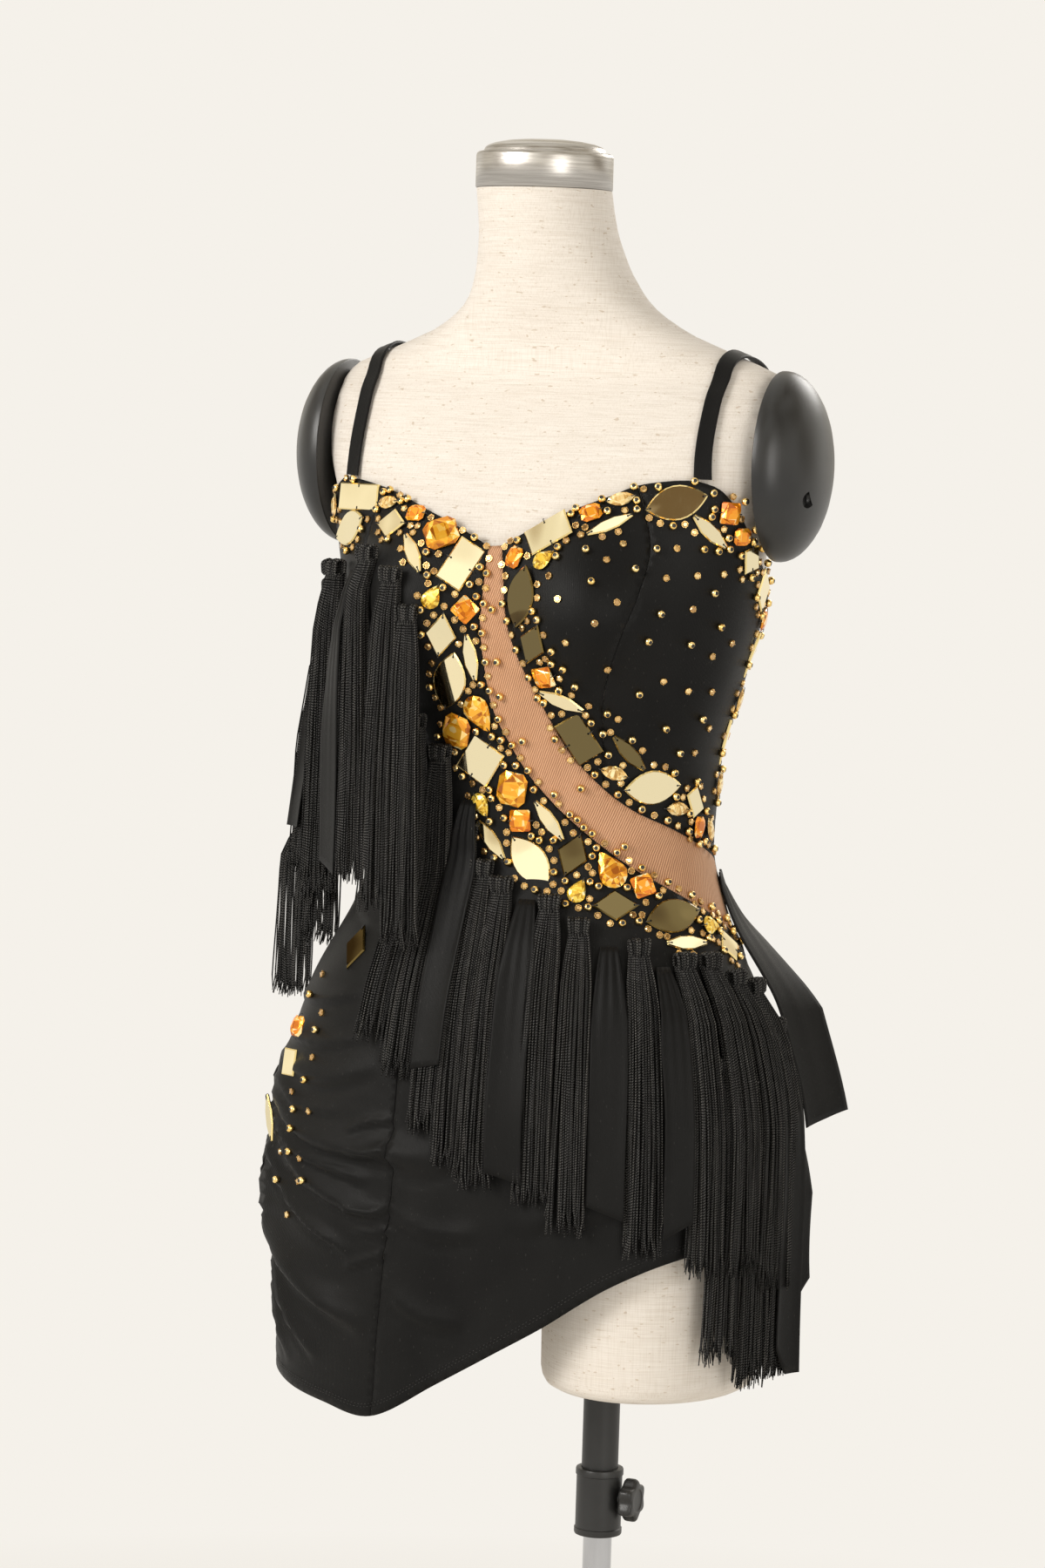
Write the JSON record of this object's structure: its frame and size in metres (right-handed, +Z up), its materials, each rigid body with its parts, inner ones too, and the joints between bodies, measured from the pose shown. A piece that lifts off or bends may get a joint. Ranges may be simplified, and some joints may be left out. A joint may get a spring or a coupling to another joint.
{
  "type": "fringed dance dress on a limbless dress form",
  "caption": "Asymmetric fringed salsa dance dress with stone bands and a mesh inset, worn on a limbless torso form that turns on a telescopic stand.",
  "frame": {"origin": "a point on the floor straight below the middle of the form's waist section, on the underside of the base disc", "axes": "+Z up; -Y is the wearer's front; +X is the wearer's left"},
  "size_m": [0.4618, 0.4, 1.5648],
  "materials": {
    "black_knit": "matte stretch knit",
    "nude_mesh": "matte ribbed mesh",
    "rayon_fringe": "soft sheen chainette",
    "linen": "slubbed natural linen",
    "satin_black": "satin black",
    "steel": "turned and brushed",
    "chrome": "polished"
  },
  "bodies": {
    "stand": {"base": "satin_black", "post": "chrome"},
    "mast": {"mast_tube": "satin_black", "clamp_collar": "satin_black"},
    "knob": {"clamp_knob": "satin_black"},
    "form": {"torso": "linen", "neck_cap": "steel", "arm_disc_left": "satin_black", "arm_disc_right": "satin_black", "left_cup_front": "black_knit", "left_cup_side": "black_knit", "mesh_inset": "nude_mesh", "front_main": "black_knit", "right_side_front": "black_knit", "back": "black_knit", "strap_left": "black_knit", "strap_right": "black_knit", "bust_tassel_1": "rayon_fringe", "bust_tassel_2": "rayon_fringe", "bust_tassel_3": "rayon_fringe", "bust_tassel_4": "rayon_fringe", "bust_tassel_5": "rayon_fringe", "waist_tassel_1": "rayon_fringe", "waist_tassel_2": "rayon_fringe", "waist_tassel_3": "rayon_fringe", "waist_tassel_4": "rayon_fringe", "waist_tassel_5": "rayon_fringe", "hip_tassel_1": "rayon_fringe", "hip_tassel_2": "rayon_fringe", "hip_tassel_3": "rayon_fringe", "hip_tassel_4": "rayon_fringe", "hip_tassel_5": "rayon_fringe", "hip_tassel_6": "rayon_fringe", "hip_tassel_7": "rayon_fringe", "hip_tassel_8": "rayon_fringe", "low_tassel_1": "rayon_fringe", "low_tassel_2": "rayon_fringe", "low_tassel_3": "rayon_fringe", "back_tassel_1": "rayon_fringe", "back_tassel_2": "rayon_fringe", "back_tassel_3": "rayon_fringe", "back_tassel_4": "rayon_fringe", "back_tassel_5": "rayon_fringe", "back_tassel_6": "rayon_fringe", "back_tassel_7": "rayon_fringe", "back_tassel_8": "rayon_fringe", "bust_strip_1": "black_knit", "bust_strip_2": "black_knit", "waist_strip_1": "black_knit", "hip_strip_1": "black_knit", "hip_strip_2": "black_knit", "hip_strip_3": "black_knit", "side_strip_1": "black_knit", "side_strip_2": "black_knit", "side_strip_3": "black_knit", "back_strip_1": "black_knit", "back_strip_2": "black_knit", "back_strip_3": "black_knit"}
  },
  "joints": [
    {"name": "height_slide", "type": "slide", "parent": "stand", "child": "mast", "axis": [0, 0, 1], "range_m": [-0.15, 0.17]},
    {"name": "form_swivel", "type": "hinge", "parent": "mast", "child": "form", "pos_m": [0.063, -0.023, 0.96], "axis": [0, 0, 1], "continuous": true},
    {"name": "knob_turn", "type": "hinge", "parent": "mast", "child": "knob", "pos_m": [0.094, -0.023, 0.61], "axis": [1, 0, 0], "continuous": true}
  ]
}
